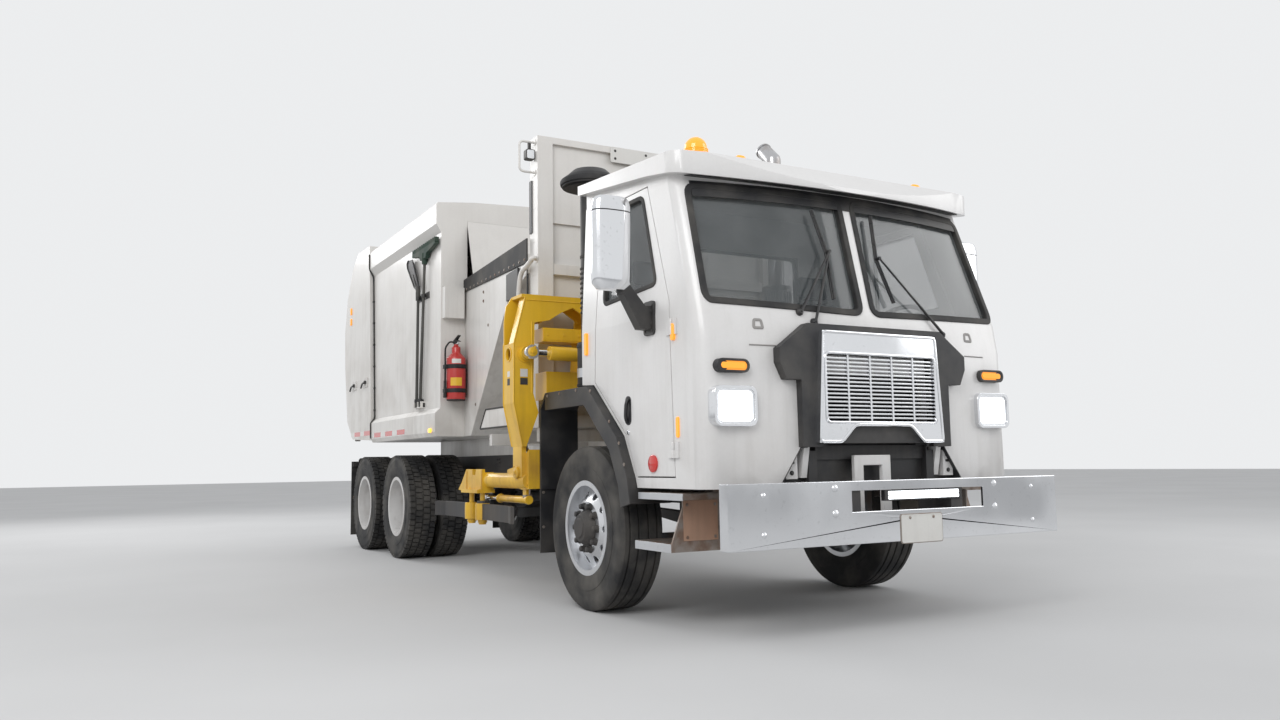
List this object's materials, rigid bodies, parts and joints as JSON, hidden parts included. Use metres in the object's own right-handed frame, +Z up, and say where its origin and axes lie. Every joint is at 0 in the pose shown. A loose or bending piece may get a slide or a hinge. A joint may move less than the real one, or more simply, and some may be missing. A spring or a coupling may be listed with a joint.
{
  "type": "automated side-loading garbage truck",
  "caption": "Low-cab garbage truck with a yellow side lift arm and gripper, open hopper, packer body with tailgate and tandem rear axles.",
  "frame": {"origin": "on the ground under the middle of the truck's width and length", "axes": "+Z up, +Y towards the tailgate, -Y towards the bumper, -X towards the kerb side with the lift arm"},
  "size_m": [3.09, 8.425, 3.5478],
  "materials": {
    "paint_white": "gloss",
    "paint_body": "semi_gloss",
    "arm_yellow": "semi_gloss",
    "frame_black": "satin",
    "chrome": "polished",
    "bare_steel": "worn",
    "cast_grey": "rough",
    "plastic_black": "moulded",
    "rubber_black": "matte",
    "tyre_black": "matte",
    "wheel_silver": "satin",
    "wheel_white": "semi_gloss",
    "glass": "tinted",
    "lamp_clear": "clear",
    "seat_grey": "woven",
    "red_paint": "gloss",
    "tool_handle": "satin"
  },
  "bodies": {
    "chassis": {"frame_rails": "frame_black", "suspension": "frame_black", "front_axle": "cast_grey", "rear_axles": "cast_grey", "engine": "cast_grey", "bumper": "chrome", "steps": "bare_steel", "front_fenders": "plastic_black", "tanks": "paint_body", "intake_stack": "paint_white", "exhaust_stack": "bare_steel", "hopper_shield": "paint_body", "hopper": "paint_body", "rubber_flaps": "rubber_black", "body_shell": "paint_body", "extinguisher": "red_paint", "hand_tools": "tool_handle", "reach_housing": "arm_yellow"},
    "cab": {"cab_shell": "paint_white", "cab_glass": "glass", "grille": "chrome", "grille_shroud": "plastic_black", "lamps": "lamp_clear", "seats": "seat_grey", "dash": "plastic_black"},
    "door_kerb": {"door_kerb": "paint_white", "door_glass_kerb": "glass", "mirror_kerb": "chrome"},
    "door_street": {"door_street": "paint_white", "door_glass_street": "glass", "mirror_street": "chrome"},
    "knuckle_kerb": {"knuckle_kerb": "cast_grey"},
    "knuckle_street": {"knuckle_street": "cast_grey"},
    "tie_rod": {"tie_rod": "cast_grey"},
    "wheel_front_kerb": {"rim_front_kerb": "wheel_silver", "tyre_front_kerb": "tyre_black"},
    "wheel_front_street": {"rim_front_street": "wheel_silver", "tyre_front_street": "tyre_black"},
    "wheels_mid_kerb": {"rims_mid_kerb": "wheel_white", "tyres_mid_kerb": "tyre_black"},
    "wheels_mid_street": {"rims_mid_street": "wheel_white", "tyres_mid_street": "tyre_black"},
    "wheels_rear_kerb": {"rims_rear_kerb": "wheel_white", "tyres_rear_kerb": "tyre_black"},
    "wheels_rear_street": {"rims_rear_street": "wheel_white", "tyres_rear_street": "tyre_black"},
    "carriage": {"carriage": "arm_yellow"},
    "lift_arm": {"lift_arm": "arm_yellow", "gripper_base": "arm_yellow"},
    "lift_cylinder": {"lift_cylinder": "frame_black"},
    "lift_rod": {"lift_rod": "chrome"},
    "grip_rod": {"grip_rod": "chrome"},
    "finger_front": {"finger_front": "arm_yellow"},
    "finger_rear": {"finger_rear": "arm_yellow"},
    "ejector_panel": {"ejector_panel": "paint_body"},
    "tailgate": {"tailgate": "paint_body"}
  },
  "joints": [
    {"name": "cab_tilt", "type": "hinge", "parent": "chassis", "child": "cab", "pos_m": [0, -3.8825, 0.93], "axis": [1, 0, 0], "range_deg": [0, 45]},
    {"name": "door_kerb_hinge", "type": "hinge", "parent": "cab", "child": "door_kerb", "pos_m": [-1.182, -3.6305, 1.3], "axis": [0, 0, 1], "range_deg": [0, 70]},
    {"name": "door_street_hinge", "type": "hinge", "parent": "cab", "child": "door_street", "pos_m": [1.182, -3.6305, 1.3], "axis": [0, 0, -1], "range_deg": [0, 70]},
    {"name": "steer_kerb", "type": "hinge", "parent": "chassis", "child": "knuckle_kerb", "pos_m": [-0.876, -2.5375, 0.525], "axis": [0, 0, 1], "range_deg": [-35, 35]},
    {"name": "steer_street", "type": "hinge", "parent": "chassis", "child": "knuckle_street", "pos_m": [0.876, -2.5375, 0.525], "axis": [0, 0, 1], "range_deg": [-35, 35]},
    {"name": "tie_rod_pivot", "type": "hinge", "parent": "knuckle_kerb", "child": "tie_rod", "pos_m": [-0.806, -2.2975, 0.365], "axis": [0, 0, 1], "range_deg": [-35, 35]},
    {"name": "roll_front_kerb", "type": "hinge", "parent": "knuckle_kerb", "child": "wheel_front_kerb", "pos_m": [-1.042, -2.5375, 0.525], "axis": [1, 0, 0], "continuous": true},
    {"name": "roll_front_street", "type": "hinge", "parent": "knuckle_street", "child": "wheel_front_street", "pos_m": [1.042, -2.5375, 0.525], "axis": [1, 0, 0], "continuous": true},
    {"name": "roll_mid_kerb", "type": "hinge", "parent": "chassis", "child": "wheels_mid_kerb", "pos_m": [-0.9, 1.9025, 0.525], "axis": [1, 0, 0], "continuous": true},
    {"name": "roll_mid_street", "type": "hinge", "parent": "chassis", "child": "wheels_mid_street", "pos_m": [0.9, 1.9025, 0.525], "axis": [1, 0, 0], "continuous": true},
    {"name": "roll_rear_kerb", "type": "hinge", "parent": "chassis", "child": "wheels_rear_kerb", "pos_m": [-0.9, 3.2225, 0.525], "axis": [1, 0, 0], "continuous": true},
    {"name": "roll_rear_street", "type": "hinge", "parent": "chassis", "child": "wheels_rear_street", "pos_m": [0.9, 3.2225, 0.525], "axis": [1, 0, 0], "continuous": true},
    {"name": "reach", "type": "slide", "parent": "chassis", "child": "carriage", "axis": [-1, 0, 0], "range_m": [0, 1.2]},
    {"name": "lift", "type": "hinge", "parent": "carriage", "child": "lift_arm", "pos_m": [-0.72, -1.7375, 2.06], "axis": [0, 1, 0], "range_deg": [0, 115]},
    {"name": "lift_barrel", "type": "hinge", "parent": "carriage", "child": "lift_cylinder", "pos_m": [-0.69, -1.9315, 1.715], "axis": [0, 1, 0], "range_deg": [0, 84.49]},
    {"name": "lift_stroke", "type": "slide", "parent": "lift_cylinder", "child": "lift_rod", "axis": [-0.9999, 0, 0.0113], "range_m": [0, 0.4062]},
    {"name": "grip_front", "type": "hinge", "parent": "lift_arm", "child": "finger_front", "pos_m": [-1.325, -1.0075, 0.58], "axis": [0, 0, -1], "range_deg": [0, 90]},
    {"name": "grip_rear", "type": "hinge", "parent": "lift_arm", "child": "finger_rear", "pos_m": [-1.325, -0.7675, 0.58], "axis": [0, 0, 1], "range_deg": [0, 90]},
    {"name": "grip_stroke", "type": "slide", "parent": "lift_arm", "child": "grip_rod", "axis": [0, -1, 0], "range_m": [0, 0.1053]},
    {"name": "eject", "type": "slide", "parent": "chassis", "child": "ejector_panel", "axis": [0, 1, 0], "range_m": [0, 1.95]},
    {"name": "tailgate_hinge", "type": "hinge", "parent": "chassis", "child": "tailgate", "pos_m": [0, 3.0525, 3.52], "axis": [1, 0, 0], "range_deg": [0, 85]}
  ],
  "couplings": [
    {"joint": "steer_street", "follows": "steer_kerb", "ratio": 1},
    {"joint": "tie_rod_pivot", "follows": "steer_kerb", "ratio": -1},
    {"joint": "lift_barrel", "follows": "lift", "ratio": 0.7347},
    {"joint": "lift_stroke", "follows": "lift", "m_per_rad": 0.20238},
    {"joint": "grip_rear", "follows": "grip_front", "ratio": 1},
    {"joint": "grip_stroke", "follows": "grip_front", "m_per_rad": 0.067}
  ]
}
